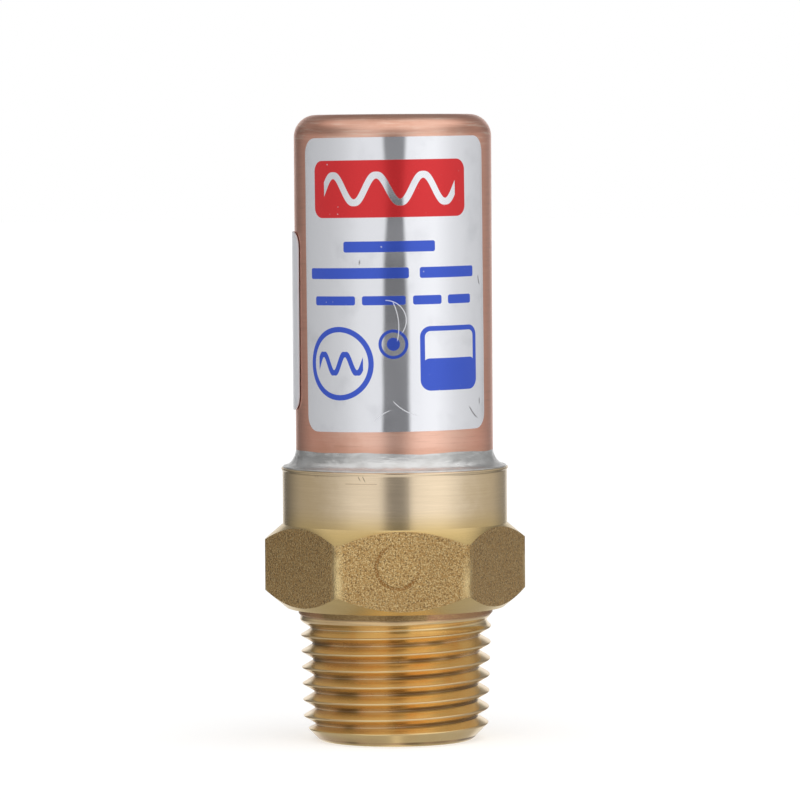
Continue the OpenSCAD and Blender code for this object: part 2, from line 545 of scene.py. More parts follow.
@dataclass(frozen=True)
class ForgedBrass:
    """The blasted skin of the forging on the hexagon's flats, with a shallow ring mark on the front one,
    bright grain that is partly painted glints, and painted shade on the side flats, the lower part and the
    right half.
    """

    name: str = "forged_brass"
    skin: Colour = (0.60, 0.365, 0.137)
    # the tone of the blast pits, also used for painted shade
    pit_and_shade: Colour = (0.24, 0.14, 0.06)
    # a bright tone for rubbed corners, also used for painted glints in the fine grain
    worn_and_glint: Colour = (0.95, 0.73, 0.365)
    mark: Colour = (0.36, 0.17, 0.05)
    flat: float = ACROSS_FLATS / 2
    corner_r: float = 14.664
    ring_at: Point = (-0.55, 20.15)
    ring_r: float = 2.35
    # where painted shade darkens the flats: the side flats, the lower part and the right half
    sides: Point = (7.432, 8.032)
    foot: Point = (20.0, 16.0)
    right: Point = (0.0, 4.0)

    def material(self) -> Material:
        """Lays out the finish.

        Returns:
            The material.
        """
        material, sheet = new_sheet(self.name)
        mm = sheet.object_mm()
        x, y, z = sheet.split(mm)
        coarse = sheet.grain(mm, 4.4, 2.0, 0.6)
        fine = sheet.grain(mm, 7.5, 2.0, 0.5)
        patch = sheet.grain(mm, 0.3, 2.0, 0.5)
        dx = sheet.minus(x, self.ring_at[0])
        dz = sheet.minus(z, self.ring_at[1])
        ring = sheet.times(
            sheet.spread(sheet.off(sheet.hypot(dx, dz), self.ring_r), 0.28, 0.07),
            sheet.spread(sheet.calc("ADD", dx, dz), 2.4, -0.6, 0.25, 1.0),
            sheet.spread(y, -self.flat + 0.5, -self.flat + 0.2),
        )
        wear = sheet.times(
            sheet.spread(sheet.hypot(x, y), self.corner_r - 0.55, self.corner_r),
            sheet.spread(patch, 0.35, 0.65),
        )
        # painted shade: the side flats, the lower part and the right half are darker, as where less light
        # falls
        painted_shade = sheet.most(
            sheet.spread(sheet.calc("ABSOLUTE", x), *self.sides, 0.0, 0.17),
            sheet.spread(z, *self.foot, 0.0, 0.15),
            sheet.spread(x, *self.right, 0.0, 0.13),
        )
        tone = sheet.coats(
            self.skin,
            (sheet.spread(coarse, 0.52, 0.36, 0.0, 0.85), self.pit_and_shade),
            # painted glints: the fine bright grain stands in for sparkle on the blasted skin
            (sheet.spread(fine, 0.5, 0.62, 0.0, 0.85), self.worn_and_glint),
            (painted_shade, self.pit_and_shade),
            (sheet.times(ring, sheet.spread(fine, 0.62, 0.4, 0.4, 0.9)), self.mark),
            (wear, self.worn_and_glint),
        )
        rough = sheet.total((coarse, 0.14), (wear, -0.12), (1.0, 0.3))
        sheet.surface(tone, rough, sheet.total((coarse, 0.2), (fine, 0.08), (ring, -0.1)), 1.0)
        return material


@dataclass(frozen=True)
class DrawnCopper:
    """Bright drawn copper with rubbed lines round the tube and a little tarnish, painted paler at the front
    as a highlight and darker at the sides as shade, with painted glints in the brushed lines of the crown.
    """

    name: str = "drawn_copper"
    # bright and side: painted highlight at the front and painted shade at the sides
    bright: Colour = (0.97, 0.60, 0.47)
    side: Colour = (0.88, 0.45, 0.33)
    tarnish: Colour = (0.74, 0.37, 0.25)
    line: Colour = (0.55, 0.28, 0.19)
    # painted highlight for the brushed lines of the crown
    glint: Colour = (1.0, 0.74, 0.60)
    heat: Point = (33.8, 32.4)
    crown: Point = (66.6, 69.0)
    brushed_glint_z: Point = (66.0, 67.6)
    lid_z: Point = (69.3, 69.75)

    def material(self) -> Material:
        """Lays out the finish.

        Returns:
            The material.
        """
        material, sheet = new_sheet(self.name)
        mm = sheet.object_mm()
        x, y, z = sheet.split(mm)
        along = sheet.minus(z, sheet.hypot(x, y))
        lines = sheet.grain(sheet.join(sheet.times(x, 0.06), sheet.times(y, 0.06), along), 3.2, 6.0, 0.72)
        cloud = sheet.grain(mm, 0.22, 4.0, 0.6)
        speck = sheet.grain(mm, 1.7, 3.0, 0.6)
        # brushed lines on the crown with painted glints, fewer on the lid
        brushed_glint = sheet.times(
            sheet.spread(lines, 0.5, 0.66),
            sheet.spread(z, *self.brushed_glint_z, 0.15, 0.8),
            sheet.spread(z, *self.lid_z, 1.0, 0.3),
        )
        worked = sheet.most(sheet.spread(z, *self.crown, 0.0, 0.3), sheet.spread(z, *self.heat, 0.0, 0.5))
        tone = sheet.coats(
            self.bright,
            # painted highlight and shade: paler copper towards the front, darker towards the sides
            (sheet.spread(sheet.calc("MULTIPLY_ADD", cloud, 3.0, y), -8.8, -4.8), self.side),
            (sheet.spread(cloud, 0.45, 0.75, 0.0, 0.45), self.tarnish),
            (worked, self.tarnish),
            (sheet.spread(lines, 0.5, 0.3, 0.0, 0.3), self.line),
            (brushed_glint, self.glint),
            (sheet.spread(speck, 0.74, 0.86, 0.0, 0.4), self.line),
        )
        rough = sheet.total((lines, 0.14), (cloud, 0.1), (1.0, 0.2))
        sheet.surface(tone, rough, sheet.total((lines, 0.0015)), 1.0)
        return material


@dataclass(frozen=True)
class TinSolder:
    """Tin solder that has run, frozen in dull streaks with bright ripples."""

    name: str = "tin_solder"
    bright: Colour = (0.80, 0.80, 0.79)
    dull: Colour = (0.66, 0.65, 0.63)

    def material(self) -> Material:
        """Lays out the finish.

        Returns:
            The material.
        """
        material, sheet = new_sheet(self.name)
        mm = sheet.object_mm()
        x, y, z = sheet.split(mm)
        ripple = sheet.grain(sheet.join(x, y, sheet.times(z, 3.5)), 0.55, 3.0, 0.5)
        fleck = sheet.grain(mm, 3.5, 3.0, 0.6)
        tone = sheet.coats(
            self.dull,
            (sheet.spread(ripple, 0.3, 0.6, 0.4, 1.0), self.bright),
            (sheet.spread(fleck, 0.38, 0.25, 0.0, 0.3), self.dull),
        )
        rough = sheet.total((ripple, -0.15), (fleck, 0.15), (1.0, 0.32))
        sheet.surface(tone, rough, sheet.total((ripple, 0.09), (fleck, 0.012)), 1.0)
        return material


class Print(Enum):
    """What a label carries: coloured fields and a wave on the front, plain bars at the back."""

    FIELDS = "fields"
    BARS = "bars"


@dataclass(frozen=True)
class LabelFoil:
    """Silver label foil with printed fields, fine scratches and rubbed ink."""

    name: str
    print_kind: Print
    turn: float
    skew: float
    middle: float
    gloss: float
    tube_r: float = TUBE_R
    silver: Colour = (0.87, 0.88, 0.92)
    dull: Colour = (0.68, 0.69, 0.73)
    bare: Colour = (0.16, 0.15, 0.16)
    red: Colour = (0.72, 0.03, 0.035)
    blue: Colour = (0.05, 0.11, 0.62)
    red_field: Box = (-9.9, 8.4, 58.5, 64.8)
    red_wave: Wave = Wave((-8.4, 7.0), 61.65, 1.5, 5.1333, 0.75)
    field_corner: float = 1.2
    bar_corner: float = 0.25
    bars: tuple[Box, ...] = (
        (-5.9, 4.4, 54.7, 55.9),
        (-10.6, 1.4, 51.8, 53.0),
        (2.6, 9.6, 51.8, 53.0),
        (-9.9, -4.6, 48.9, 49.9),
        (-3.8, 1.0, 48.9, 49.9),
        (1.8, 5.1, 48.9, 49.9),
        (5.9, 9.1, 48.9, 49.9),
    )
    frame: Box = (2.5, 10.0, 39.4, 46.5)
    frame_line: float = 0.55
    level_gap: float = 0.2
    level_corner: float = 0.9
    badge: Triple = (-6.65, 42.5, 3.75)
    badge_line: float = 0.6
    badge_wave: Wave = Wave((-9.5, -3.8), 42.5, 1.0, 2.85, 0.6)
    dot: Triple = (-0.42, 44.6, 1.45)
    dot_line: float = 0.35
    rear_corner: float = 0.8
    rear_line: float = 0.4
    rear_red: Box = (-14.5, -6.5, 39.2, 43.2)
    rear_frame: Box = (-4.9, 14.5, 39.2, 43.2)
    rear_bars: tuple[Box, ...] = (
        (-14.5, 14.5, 52.4, 54.6),
        (-14.5, -1.2, 49.9, 50.6),
        (-14.5, -2.6, 48.2, 48.9),
        (-14.5, -5.4, 46.5, 47.2),
        (1.2, 14.5, 49.9, 50.6),
        (1.2, 12.8, 48.2, 48.9),
        (1.2, 9.4, 46.5, 47.2),
    )
    hair_w: float = 0.09
    hairs: tuple[Arc, ...] = (
        (-1.2, 47.2, 2.22, 1, 45.9, 49.5),
        (-6.3, 46.5, 6.5, 1, 45.0, 49.2),
        (3.2, 41.5, 4.9, -1, 36.8, 38.3),
        (0.6, 33.2, 4.4, -1, 36.2, 37.3),
    )
    nick_w: float = 0.16
    nicks: tuple[Arc, ...] = (
        (12.2, 39.6, 4.03, -1, 36.2, 37.4),
        (13.8, 38.0, 3.2, -1, 37.7, 38.3),
        (-6.0, 53.8, 2.0, 1, 53.4, 53.8),
        (13.2, 52.0, 2.6, -1, 50.9, 51.8),
    )

    def fields(self, sheet: Sheet, u: NodeSocket, v: NodeSocket) -> tuple[NodeSocket, NodeSocket]:
        """The label's plain shapes: a red field, bars and a frame, and on the front waves, a ring and a dot.

        Args:
            sheet: the material's sheet.
            u: millimetres round the tube.
            v: millimetres along the tube.
        Returns:
            Where the red ink lies and where the blue ink lies.
        """
        if self.print_kind is Print.BARS:
            shapes = [sheet.box(u, v, bar, self.bar_corner) for bar in self.rear_bars]
            shapes.append(sheet.outline(u, v, self.rear_frame, self.rear_corner, self.rear_line))
            return sheet.box(u, v, self.rear_red, self.rear_corner), sheet.most(*shapes)
        gap = sheet.wave(u, v, self.red_wave)
        red = sheet.times(sheet.box(u, v, self.red_field, self.field_corner), sheet.minus(1.0, gap))
        left, right, low, high = self.frame
        inset = self.level_gap
        level = (left + inset, right - inset, low + inset, (low + high) / 2)
        shapes = [sheet.box(u, v, bar, self.bar_corner) for bar in self.bars]
        shapes += [
            sheet.ring(u, v, self.badge, self.badge_line),
            sheet.wave(u, v, self.badge_wave),
            sheet.ring(u, v, self.dot, self.dot_line),
            sheet.ring(u, v, (*self.dot[:2], 0.0), self.dot[2]),
            sheet.outline(u, v, self.frame, self.field_corner, self.frame_line),
            sheet.box(u, v, level, self.level_corner),
        ]
        return red, sheet.most(*shapes)

    def material(self) -> Material:
        """Lays out the finish.

        Returns:
            The material.
        """
        material, sheet = new_sheet(self.name)
        x, y, z = sheet.split(sheet.object_mm(-self.turn))
        around = sheet.times(sheet.bearing(x, y), self.tube_r)
        rise = sheet.minus(z, self.middle)
        cos, sin = math.cos(math.radians(self.skew)), math.sin(math.radians(self.skew))
        u = sheet.total((around, cos), (rise, sin))
        v = sheet.total((around, -sin), (rise, cos), (1.0, self.middle))
        flat = sheet.join(u, v, 0.0)
        smudge = sheet.grain(flat, 0.25, 3.0, 0.55)
        fleck = sheet.grain(flat, 2.2, 2.0, 0.5)
        drawn = sheet.join(sheet.times(u, 0.25), sheet.times(v, 6.0), 0.0)
        scratch = sheet.grain(drawn, 1.0, 3.0, 0.6)
        rubbed = sheet.spread(fleck, 0.28, 0.22, 1.0, 0.4)
        red, blue = self.fields(sheet, u, v)
        ink = sheet.most(red, blue)
        hair = sheet.scratches(u, v, self.hairs, self.hair_w)
        nick = sheet.scratches(u, v, self.nicks, self.nick_w)
        tone = sheet.coats(
            self.silver,
            (sheet.spread(smudge, 0.5, 0.78, 0.0, 0.5), self.dull),
            (sheet.spread(fleck, 0.74, 0.82, 0.0, 0.7), self.dull),
            (sheet.times(red, rubbed), self.red),
            (sheet.times(blue, rubbed), self.blue),
            (sheet.times(nick, 0.75), self.bare),
            (sheet.times(hair, 0.8), self.silver),
        )
        metal = sheet.times(sheet.total((ink, -0.44), (hair, -0.49), (1.0, 0.93)), self.gloss)
        rough = sheet.total(
            (ink, 0.12), (smudge, 0.06), (scratch, 0.05), (hair, 0.3), (1.0, 0.35 - 0.3 * self.gloss)
        )
        sheet.surface(tone, rough, sheet.total((scratch, 0.0008)), metal)
        return material


@dataclass(frozen=True)
class MouldedPlastic:
    """Off-white moulded acetal with a fine satin skin."""

    name: str = "moulded_acetal"
    white: Colour = (0.80, 0.79, 0.74)
    shade: Colour = (0.66, 0.65, 0.60)

    def material(self) -> Material:
        """Lays out the finish.

        Returns:
            The material.
        """
        material, sheet = new_sheet(self.name)
        mm = sheet.object_mm()
        cloud = sheet.grain(mm, 0.3, 3.0, 0.5)
        skin = sheet.grain(mm, 6.0, 2.0, 0.5)
        tone = sheet.blend(sheet.spread(cloud, 0.35, 0.7), self.white, self.shade)
        rough = sheet.total((skin, 0.12), (cloud, 0.1), (1.0, 0.3))
        sheet.surface(tone, rough, sheet.total((skin, 0.01)))
        return material


@dataclass(frozen=True)
class SealRubber:
    """Black seal rubber with a dull bloom and a thin coat of grease."""

    name: str = "seal_rubber"
    black: Colour = (0.022, 0.022, 0.024)
    bloom: Colour = (0.075, 0.072, 0.07)

    def material(self) -> Material:
        """Lays out the finish.

        Returns:
            The material.
        """
        material, sheet = new_sheet(self.name)
        mm = sheet.object_mm()
        dust = sheet.grain(mm, 1.2, 3.0, 0.6)
        skin = sheet.grain(mm, 8.0, 2.0, 0.5)
        tone = sheet.blend(sheet.spread(dust, 0.4, 0.75), self.black, self.bloom)
        rough = sheet.total((dust, 0.25), (1.0, 0.3))
        sheet.surface(tone, rough, sheet.total((skin, 0.008)))
        return material


def ring_chain(bm: BMesh, ring: list[BMEdge], start: Point, profile: list[Point]) -> list[BMEdge]:
    """Turns a profile on from a ring of edges about the axis.

    Args:
        bm: the mesh.
        ring: a closed ring of edges.
        start: the ring's radius and height.
        profile: the radius and height of each further ring.
    Returns:
        The last ring.
    """
    r0, z0 = start
    for r, z in profile:
        made = bmesh.ops.extrude_edge_only(bm, edges=ring)["geom"]
        verts = [g for g in made if isinstance(g, BMVert)]
        new = set(verts)
        ring = [g for g in made if isinstance(g, BMEdge) and g.verts[0] in new and g.verts[1] in new]
        bmesh.ops.scale(bm, vec=(r / r0, r / r0, 1.0), verts=verts)
        bmesh.ops.translate(bm, vec=(0.0, 0.0, z - z0), verts=verts)
        r0, z0 = r, z
    return ring


def lathe(bm: BMesh, profile: list[Point], steps: int, closed: bool = False) -> None:
    """Spins a profile about the axis.

    Args:
        bm: the mesh.
        profile: radius and height of each point.
        steps: steps round the axis.
        closed: whether the profile's ends join.
    """
    verts = [bm.verts.new((r, 0.0, z)) for r, z in profile]
    pairs = list(zip(verts, verts[1:] + verts[:1])) if closed else list(zip(verts, verts[1:]))
    edges = [bm.edges.new(pair) for pair in pairs]
    bmesh.ops.spin(bm, geom=verts + edges, cent=(0, 0, 0), axis=(0, 0, 1), angle=2 * math.pi, steps=steps,
                   use_merge=True)
    bmesh.ops.remove_doubles(bm, verts=bm.verts[:], dist=1e-4)


def arc(centre: Point, radius: float, first: float, last: float, count: int) -> list[Point]:
    """Points of a profile on an arc, from a first to a last angle in degrees."""
    angles = [math.radians(first + (last - first) * i / (count - 1)) for i in range(count)]
    return [(centre[0] + radius * math.cos(a), centre[1] + radius * math.sin(a)) for a in angles]


@dataclass
class Piece:
    """A mesh that stands for one CAD node."""

    name: str
    node: str
    body: Body
    slot: Slot

    def place(self, bm: BMesh, materials: list[Material], sharp: float = 30.0) -> Object:
        """Makes the object from a mesh in millimetres.

        Args:
            bm: the mesh, which is freed.
            materials: the object's materials in order.
            sharp: edges that turn by more degrees than this stay crisp.
        Returns:
            The object.
        """
        bmesh.ops.scale(bm, vec=(MM, MM, MM), verts=bm.verts[:])
        for face in bm.faces:
            face.smooth = True
        for edge in bm.edges:
            if edge.smooth and edge.calc_face_angle(0.0) > math.radians(sharp):
                edge.smooth = False
        mesh = bpy.data.meshes.new(self.name)
        bm.to_mesh(mesh)
        bm.free()
        for material in materials:
            mesh.materials.append(material)
        piece = bpy.data.objects.new(self.name, mesh)
        bpy.context.scene.collection.objects.link(piece)
        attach(piece, self.body.value)
        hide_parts(self.node)
        LOG.info("%s on %s: %d faces", self.name, self.body.value, len(mesh.polygons))
        return piece


@dataclass
class BrassBody:
    """The adapter, forged and then turned: pipe thread, plain ring, hexagon and collar."""

    pitch: float = 1.814
    end_r: float = END_R
    taper: float = TAPER
    depth: float = 1.3
    flank: float = 60.0
    crest_w: float = 0.12
    phase: float = 1.76
    face_r: float = 8.6
    trim_z: float = 0.3
    ease: float = 0.02
    start_z: float = 0.5
    rim_w: float = 0.06
    rim_cut: float = 0.015
    land_z: float = LAND_Z
    land_r: float = LAND_R
    shank: float = 14.85
    foot_r: float = 12.202
    across_flats: float = ACROSS_FLATS
    blank_spare: float = 0.6
    flat_index: int = 1
    flat_area: float = 20.0
    chamfer: float = 40.0
    hex_top: float = 24.22
    collar_r: float = COLLAR_R
    collar_top: float = COLLAR_TOP
    lip: float = 0.13
    lip_z: float = 30.12
    lip_run: float = 0.25
    lip_rows: int = 5
    corner_ease: float = 0.3
    crisp: float = 25.0
    socket_r: float = SOCKET_R
    socket_z: float = SOCKET_Z
    bore_r: float = 7.0
    bore_chamfer: float = 0.5
    bore_rows: Point = (12.0, 8.0)
    steps: int = 192
    rows: int = 24
    turns: int = 9

    def groove(self, off: float) -> float:
        """Depth of the thread groove, with crest and root a little rounded.

        Args:
            off: height from the nearest crest's middle.
        Returns:
            The depth.
        """
        offs = [abs(off + self.ease * i) for i in range(-3, 4)]
        walls = [min(away, self.pitch - away) - self.crest_w / 2 for away in offs]
        steep = math.tan(math.radians(self.flank))
        return sum(min(self.depth, max(0.0, wall * steep)) for wall in walls) / len(walls)

    def thread_r(self, z: float, angle: float) -> float:
        """Radius of the thread.

        Args:
            z: height.
            angle: angle from +X in radians.
        Returns:
            The radius, cut down by the end's chamfer.
        """
        off = (z - self.phase) / self.pitch - angle / (2 * math.pi)
        off = (off - math.floor(off + 0.5)) * self.pitch
        fade = max(0.0, min(1.0, (self.land_z - z) / self.pitch, z - self.start_z))
        r = self.end_r + self.taper * z - fade * self.groove(off)
        cone = self.face_r + z
        near = max(0.0, self.rim_w - abs(r - cone)) / self.rim_w
        return min(r, cone) - near * near * self.rim_cut

    def cut_thread(self, bm: BMesh) -> None:
        """Sweeps the thread as one helical skin between the end's chamfer and the plain ring.

        Args:
            bm: the mesh.
        """
        low = -self.pitch
        verts = [bm.verts.new((self.end_r, 0.0, z)) for z in (low, low + self.turns * self.pitch)]
        edge = bm.edges.new(verts)
        bmesh.ops.subdivide_edges(bm, edges=[edge], cuts=self.turns * self.rows - 1)
        bmesh.ops.spin(bm, geom=bm.verts[:] + bm.edges[:], cent=(0, 0, 0), axis=(0, 0, 1),
                       dvec=(0, 0, self.pitch / self.steps), angle=2 * math.pi, steps=self.steps,
                       use_merge=False)
        bmesh.ops.remove_doubles(bm, verts=bm.verts[:], dist=0.005)
        for vert in bm.verts:
            angle = math.atan2(vert.co.y, vert.co.x)
            r = self.thread_r(vert.co.z, angle)
            vert.co.x, vert.co.y = r * math.cos(angle), r * math.sin(angle)
        for level, way in ((self.trim_z, -1), (self.land_z, 1)):
            bmesh.ops.bisect_plane(bm, geom=bm.verts[:] + bm.edges[:] + bm.faces[:], dist=1e-5,
                                   plane_co=(0, 0, level), plane_no=(0, 0, way), clear_outer=True)

    def ring_at(self, bm: BMesh, level: float) -> list[BMEdge]:
        """The open ring of edges at a height."""
        return [e for e in bm.edges if e.is_boundary and all(abs(v.co.z - level) < 1e-3 for v in e.verts)]

    def turn_profile(self, bm: BMesh) -> None:
        """Turns ring, hexagon blank, collar, socket and bore on from the thread, and closes the shell.

        Args:
            bm: the mesh.
        """
        blank_r = self.across_flats / 2 / math.cos(math.radians(30)) + self.blank_spare
        slope = math.tan(math.radians(self.chamfer))
        crest = self.end_r + self.taper * self.land_z
        lip_r = self.collar_r + self.lip
        upper_row, lower_row = self.bore_rows
        flare = [
            (self.collar_r + self.lip * (1 - math.cos(math.pi * t)) / 2, self.lip_z + self.lip_run * t)
            for t in [i / self.lip_rows for i in range(1, self.lip_rows + 1)]
        ]
        top = [
            (self.land_r - 0.05, self.land_z),
            (self.land_r, self.land_z + 0.06),
            (self.land_r, self.shank - 0.03),
            (self.land_r + 0.04, self.shank),
            (self.foot_r, self.shank),
            (blank_r, self.shank + (blank_r - self.foot_r) * slope),
            (blank_r, self.hex_top - (blank_r - self.collar_r) * slope),
            (self.collar_r + 0.04, self.hex_top - 0.035),
            (self.collar_r, self.hex_top + 0.02),
            (self.collar_r, self.hex_top + 0.1),
            (self.collar_r, self.lip_z - 0.1),
            (self.collar_r, self.lip_z),
            *flare,
            (lip_r - 0.02, self.collar_top - 0.03),
            (lip_r - 0.08, self.collar_top),
            (self.socket_r, self.collar_top),
            (self.socket_r, self.socket_z),
            (self.bore_r, self.socket_z),
            (self.bore_r, upper_row),
        ]
        upper = ring_chain(bm, self.ring_at(bm, self.land_z), (crest, self.land_z), top)
        end = [
            (self.face_r + 0.04, 0.04),
            (self.face_r - 0.03, 0.0),
            (self.bore_r + self.bore_chamfer, 0.0),
            (self.bore_r, self.bore_chamfer),
            (self.bore_r, lower_row),
        ]
        lower = ring_chain(bm, self.ring_at(bm, self.trim_z), (self.face_r + self.trim_z, self.trim_z), end)
        bmesh.ops.bridge_loops(bm, edges=upper + lower)

    def mill_flats(self, bm: BMesh) -> None:
        """Cuts the six flats into the blank and eases their edges.

        Args:
            bm: the mesh.
        """
        for i in range(6):
            angle = math.radians(60 * i - 90)
            normal = Vector((math.cos(angle), math.sin(angle), 0.0))
            faces = [f for f in bm.faces if self.shank - 0.01 < f.calc_center_median().z < self.hex_top + 0.01
                     and max(v.co.xy.length for v in f.verts) > self.collar_r + 0.02]
            geom = list(dict.fromkeys(g for f in faces for g in (*f.verts, *f.edges, f)))
            cut = bmesh.ops.bisect_plane(bm, geom=geom, dist=1e-5, plane_co=normal * self.across_flats / 2,
                                         plane_no=normal, clear_outer=True)["geom_cut"]
            edges = [g for g in cut if isinstance(g, BMEdge)]
            bmesh.ops.edgeloop_fill(bm, edges=edges, mat_nr=self.flat_index)
        corners = [e for e in bm.edges
                   if e.is_manifold and all(f.material_index == self.flat_index for f in e.link_faces)]
        bmesh.ops.bevel(bm, geom=corners, offset=self.corner_ease, offset_type="OFFSET", segments=4,
                        profile=0.5, affect="EDGES", material=-1, clamp_overlap=True)

    def build(self) -> BMesh:
        """Builds the shell.

        Returns:
            The mesh in millimetres, its flats with material 1.
        """
        bm = bmesh.new()
        self.cut_thread(bm)
        self.turn_profile(bm)
        self.mill_flats(bm)
        bmesh.ops.recalc_face_normals(bm, faces=bm.faces[:])
        for edge in bm.edges:
            mid = (edge.verts[0].co + edge.verts[1].co) / 2
            in_thread = self.trim_z + 0.05 < mid.z < self.land_z - 0.05 and mid.xy.length > self.face_r
            wide = any(f.material_index == self.flat_index and f.calc_area() > self.flat_area
                       for f in edge.link_faces)
            edge.smooth = in_thread or not (wide or edge.calc_face_angle(0.0) > math.radians(self.crisp))
        return bm

    def dress(self) -> Object:
        """Builds the piece and gives it its finishes."""
        piece = Piece("brass_adapter", "brass_body", Body.HOUSING, Slot.BRASS)
        return piece.place(self.build(), [TurnedBrass().material(), ForgedBrass().material()], sharp=180.0)


@dataclass
class CopperChamber:
    """The drawn tube, closed and rounded at its top."""

    tube_r: float = TUBE_R
    wall: float = 1.14
    low: float = SOCKET_Z
    top: float = 69.80
    crown_r: float = 2.45
    dip: float = 0.03
    rows: int = 30
    steps: int = 160

    def build(self) -> BMesh:
        """Spins the cup.

        Returns:
            The mesh in millimetres.
        """
        bm = bmesh.new()
        inner_r, inner_c = self.tube_r - self.wall, self.crown_r - self.wall
        bend, under = self.top - self.crown_r, self.top - self.wall
        side = [(self.tube_r, self.low + (bend - self.low) * i / self.rows) for i in range(self.rows)]
        crown = arc((self.tube_r - self.crown_r, bend), self.crown_r, 0, 90, 15)
        radii = [0.8 * i for i in range(10, 0, -1)]
        lid = [(r, self.top - self.dip * math.sin(r * 0.7) ** 2) for r in radii]
        centre = [(0.0, self.top - self.dip), (0.0, under)]
        inside = arc((inner_r - inner_c, under - inner_c), inner_c, 90, 0, 7) + [(inner_r, self.low)]
        lathe(bm, side + crown + lid + centre + inside, self.steps, closed=True)
        axis = [v for v in bm.verts if v.co.xy.length < 1e-4]
        loose = [e for e in bm.edges if e.verts[0] in axis and e.verts[1] in axis]
        bmesh.ops.delete(bm, geom=loose, context="EDGES")
        bmesh.ops.recalc_face_normals(bm, faces=bm.faces[:])
        return bm

    def dress(self) -> Object:
        """Builds the piece and gives it its finish."""
        piece = Piece("copper_tube", "copper_chamber", Body.HOUSING, Slot.COPPER)
        return piece.place(self.build(), [DrawnCopper().material()])


@dataclass
class SolderJoint:
    """The ring of solder: a hollow fillet with an uneven top edge and a ripple at its foot."""

    tube_r: float = TUBE_R
    socket_r: float = SOCKET_R
    low: float = SOCKET_Z
    collar_top: float = COLLAR_TOP
    bead: Triple = (12.36, 30.58, 0.13)
    crease: Point = (12.22, 30.72)
    pull: Point = (11.25, 31.0)
    height: float = 2.0
    climb: float = 0.4
    lump: float = 0.045
    steps: int = 240

    def profile(self) -> list[Point]:
        """The section of the ring.

        Returns:
            Radius and height of each point.
        """
        points = [(self.tube_r, self.low), (self.socket_r, self.low), (self.socket_r, self.collar_top)]
        points += arc(self.bead[:2], self.bead[2], -30, 105, 9)
        ends = (self.crease, self.pull, (self.tube_r, self.collar_top + self.height))
        for i in range(13):
            t = i / 12
            shares = ((1 - t) ** 2, 2 * t * (1 - t), t * t)
            points.append(tuple(sum(w * end[k] for w, end in zip(shares, ends)) for k in range(2)))
        return points

    def build(self) -> BMesh:
        """Spins the ring and lets its surface run.

        Returns:
            The mesh in millimetres.
        """
        bm = bmesh.new()
        lathe(bm, self.profile(), self.steps, closed=True)
        for vert in bm.verts:
            share = (vert.co.z - self.collar_top) / self.height
            if share < 0.02:
                continue
            around = Vector((vert.co.x, vert.co.y, 0.0)).normalized()
            rise = 0.5 * noise.noise(around * 1.7) + 0.16 * noise.noise(around * 6.0 + Vector((5, 0, 0)))
            vert.co.z += share * share * rise * self.climb
            swell = noise.noise(Vector((around.x * 9, around.y * 9, share * 2.0)))
            out = self.lump * swell * min(1.0, 4 * share * (1 - share) + 0.3)
            if share < 0.97:
                vert.co.xy += around.xy * out
        bmesh.ops.recalc_face_normals(bm, faces=bm.faces[:])
        return bm

    def dress(self) -> Object:
        """Builds the piece and gives it its finish."""
        piece = Piece("solder_ring", "solder_joint", Body.HOUSING, Slot.SOLDER)
        return piece.place(self.build(), [TinSolder().material()], sharp=50.0)


